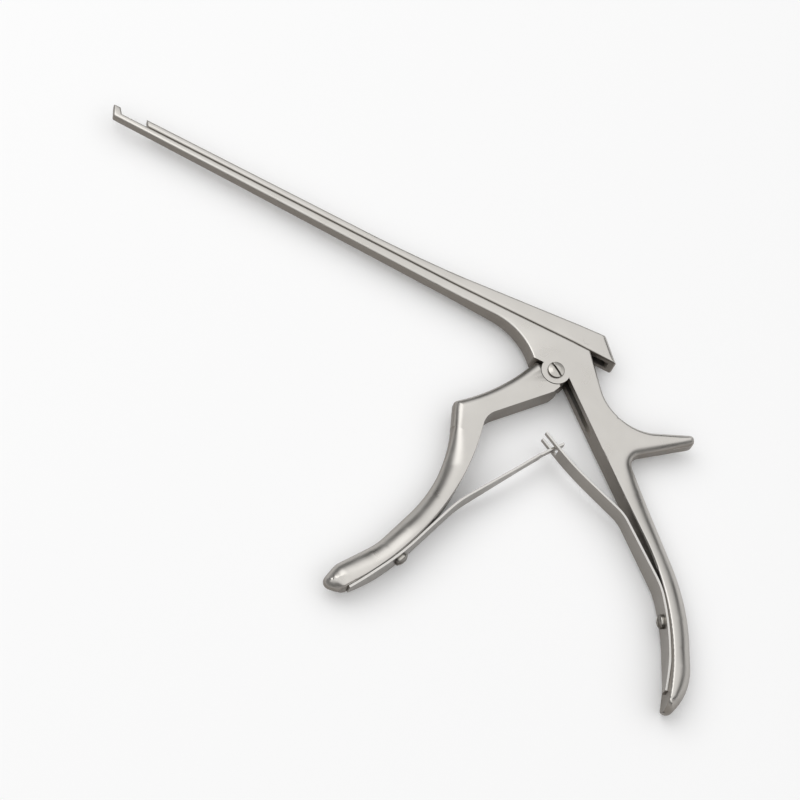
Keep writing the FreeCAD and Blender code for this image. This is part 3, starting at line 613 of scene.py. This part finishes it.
grip_arc = arc_line(GRIP_CENTRE, GRIP_RADIUS, TANGENT_ANGLE, GRIP_LAST_ANGLE)
grip_inner = spaced(np.vstack([[GRIP_START], grip_arc]), FINE_STEP)
grip_inner = clipped(clipped(grip_inner, X, FRAME_SEAM_X, ABOVE), Y, END_DEPTH, ABOVE)
grip_outer = rounded_path([
    (*grip_inner[-1],), (90.2, END_DEPTH, 1.8), (93.8, -90.4, 24), (80.3, -60.2, 85),
    (37.9, -17.4, 4.6), (58.5, 0.1, 2.2), (56.8, 3.5, 1.8), (28.5, -11.2, 19.6), (8.3, 14.6)])
grip_outer = clipped(grip_outer, X, FRAME_SEAM_X, ABOVE)
grip_reach = stations(grip_outer, [
    (90, -102, 3.0), (92.5, -92, 6.6), (80, -61, 9.0), (52, -32, 8.0), (40, -17, 3.6),
    (56, -2, 2.4), (56, 3, 2.4), (40, 0, 2.2), (28, -4, 1.0)])
grip_depth = stations(grip_outer, [
    (90, -102, 0.9), (92.5, -92, 0.86), (80, -61, 0.84), (52, -32, 0.8), (40, -17, 0.68),
    (56, -2, 0.62), (56, 3, 0.62), (40, 0, 0.5), (28, -4, 0.21)])
grip_edge = stations(grip_inner, [
    (28, -17, 0.12), (45, -36, 0.4), (72, -66, 0.9), (87.6, -102, 0.9)])
grip_mesh = polished_handle(grip_inner, grip_outer, grip_reach, grip_depth, grip_edge, GRIP_WIDTHS)
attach(finished("fixed_handle", grip_mesh, satin_steel, "satin_steel", 0, "fixed_frame"), "frame")

# %% [markdown]
# The moving handle is made the same way and rides on the trigger. It bows forwards, its inside is
# one arc, and it ends in a slim toe that turns up.

# %% Moving handle
TRIGGER_WIDTHS = rounded_path([(40, 4.7), (-35, 4.7, 120), (-86, 6.95, 60), (-122, 3.6)])
TRIGGER_CENTRE = (-118.28, -55.44)
TRIGGER_RADIUS = 105.5
TOE_ANGLE = -36.6
ARM_ANGLE = 8.42

trigger_arc = arc_line(TRIGGER_CENTRE, TRIGGER_RADIUS, TOE_ANGLE, ARM_ANGLE)
trigger_inner = clipped(spaced(trigger_arc, FINE_STEP), Y, TRIGGER_SEAM_Y, BELOW)
trigger_outer = rounded_path([
    (-28.2, -30.1), (-17.6, -59.2, 62), (-29.4, -95.5, 30), (-39.0, -109.9, 8),
    (-41.0, -119.6, 2.6), (*trigger_arc[0],)])
trigger_outer = clipped(trigger_outer, Y, TRIGGER_SEAM_Y, BELOW)
trigger_reach = stations(trigger_outer, [
    (-24, -40, 3.5), (-21, -56, 7.4), (-24, -78, 8.2), (-35, -105, 6.8), (-38, -119.5, 4.0)])
trigger_depth = stations(trigger_outer, [
    (-24, -40, 0.745), (-21, -56, 0.8), (-24, -78, 0.84), (-35, -105, 0.84),
    (-38, -119.5, 0.84)])
trigger_edge = stations(trigger_inner, [
    (-33.6, -118.3, 0.7), (-17, -88, 0.8), (-13, -60, 0.5), (-13.9, -40, 0.12)])
trigger_mesh = polished_handle(trigger_inner, trigger_outer, trigger_reach, trigger_depth,
                               trigger_edge, TRIGGER_WIDTHS)
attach(finished("moving_handle", trigger_mesh, satin_steel, "satin_steel", 0, "trigger"),
        "trigger")

# %% [markdown]
# The two leaf springs are screwed to the handles and hook into each other at their tips. When the
# trigger closes, each bends, and the hooked tips turn half as far as the trigger does. Here each
# spring only gets its polished finish and keeps the place that the model gives it.

# %% Springs
SPRING_EDGE = 0.08


def sprung(node):
    """A spring with the polished finish and a narrow bevel, its place baked into its mesh."""
    piece = finished(f"{node}_finish", merged_copy(node), spring_steel, "spring_steel",
                     SPRING_EDGE, node)
    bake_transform(piece)


sprung("rear_spring")
sprung("front_spring")

# %% [markdown]
# The instrument lies on a white sweep. It is plain matt white and takes its brightness from the
# light alone, so the steel's undersides reflect the soft shade that lies close to the instrument.

# %% Floor
SWEEP_COLOUR = "#fcfcfc"
SWEEP_REACH = 3.0
SWEEP_GAP = 0.05 * MM


def white_sweep():
    """A large pale plane just under the lowest point of the instrument."""
    low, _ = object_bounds()
    corners = np.array([(-1, -1), (1, -1), (1, 1), (-1, 1)]) * SWEEP_REACH
    points = np.column_stack([corners, np.full(4, low[2] - SWEEP_GAP)])
    mesh = bpy.data.meshes.new("sweep")
    mesh.from_pydata(points.tolist(), [], [(0, 1, 2, 3)])
    floor = bpy.data.objects.new("sweep", mesh)
    bpy.context.scene.collection.objects.link(floor)
    material, tree = empty_material("white_sweep")
    matt = add_node(tree, "ShaderNodeBsdfDiffuse", {"Color": linear(SWEEP_COLOUR)})
    add_node(tree, "ShaderNodeOutputMaterial", None, {"Surface": matt.outputs["BSDF"]})
    mesh.materials.append(material)
    floor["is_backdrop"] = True
    print("floor at", round(points[0, 2] / MM, 2), "mm")


white_sweep()

# %% [markdown]
# Steel shows its surroundings more than its own colour. A dome that is bright overhead and dark
# near the horizon gives the flat sides their light grey, and draws the dark line along every
# rounding. One large, weak lamp from the left adds a soft highlight.

# %% Light
HORIZON_LIGHT = 0.1
ZENITH_LIGHT = 1.12
DARK_BELOW, BRIGHT_ABOVE = 0.24, 0.74
WHITE = (1, 1, 1, 1)


def studio_world():
    """A dome whose brightness rises smoothly from the horizon to the zenith."""
    world = bpy.data.worlds.new("studio")
    world.use_nodes = True
    tree = world.node_tree
    tree.nodes.clear()
    place = add_node(tree, "ShaderNodeTexCoord")
    parts = add_node(tree, "ShaderNodeSeparateXYZ", None, {"Vector": place.outputs["Generated"]})
    rise = add_node(tree, "ShaderNodeMapRange",
                    {"From Min": DARK_BELOW, "From Max": BRIGHT_ABOVE,
                     "To Min": HORIZON_LIGHT, "To Max": ZENITH_LIGHT},
                    {"Value": parts.outputs["Z"]}, interpolation_type="SMOOTHSTEP")
    sky = add_node(tree, "ShaderNodeBackground", {"Color": WHITE},
                   {"Strength": rise.outputs["Result"]})
    add_node(tree, "ShaderNodeOutputWorld", None, {"Surface": sky.outputs["Background"]})
    bpy.context.scene.world = world


studio_world()
LAMP_PLACE = Vector((-0.9, 0.1, 1.3))
LAMP_AIM = Vector((-0.03, -0.04, 0.005))
lamp_data = bpy.data.lights.new("key", "AREA")
lamp_data.size = 1.2
lamp_data.energy = 4.0
lamp = bpy.data.objects.new("key", lamp_data)
lamp.location = LAMP_PLACE
lamp.rotation_euler = (LAMP_AIM - LAMP_PLACE).to_track_quat("-Z", "Y").to_euler()
bpy.context.scene.collection.objects.link(lamp)
print("lamp of", lamp_data.energy, "W")

# %% [markdown]
# The camera looks down on the instrument from in front, turned so that the shaft runs from the top
# left to the middle of the picture. Its place and axes were fitted to the parallel edges in the
# photograph, which is 800 pixels wide.

# %% Camera
CAMERA_PLACE = (-26.5, -511.5, 870.3)
CAMERA_RIGHT = Vector((0.8885, 0.4109, 0.2043)).normalized()
CAMERA_AHEAD = Vector((-0.0198, 0.4792, -0.8775)).normalized()
FOCAL_PIXELS = 2700
PICTURE_PIXELS = 800
SENSOR_WIDTH = 36.0

camera_data = bpy.data.cameras.new("camera")
camera_data.sensor_width = SENSOR_WIDTH
camera_data.lens = FOCAL_PIXELS / PICTURE_PIXELS * SENSOR_WIDTH
camera = bpy.data.objects.new("camera", camera_data)
up = CAMERA_RIGHT.cross(CAMERA_AHEAD).normalized()
right = CAMERA_AHEAD.cross(up).normalized()
turn = Matrix((right, up, -CAMERA_AHEAD)).transposed().to_4x4()
camera.matrix_world = Matrix.Translation(Vector(CAMERA_PLACE) * MM) @ turn
bpy.context.scene.collection.objects.link(camera)
bpy.context.scene.camera = camera
bpy.context.scene.view_settings.view_transform = "Standard"
print("lens in mm", round(camera_data.lens, 1))
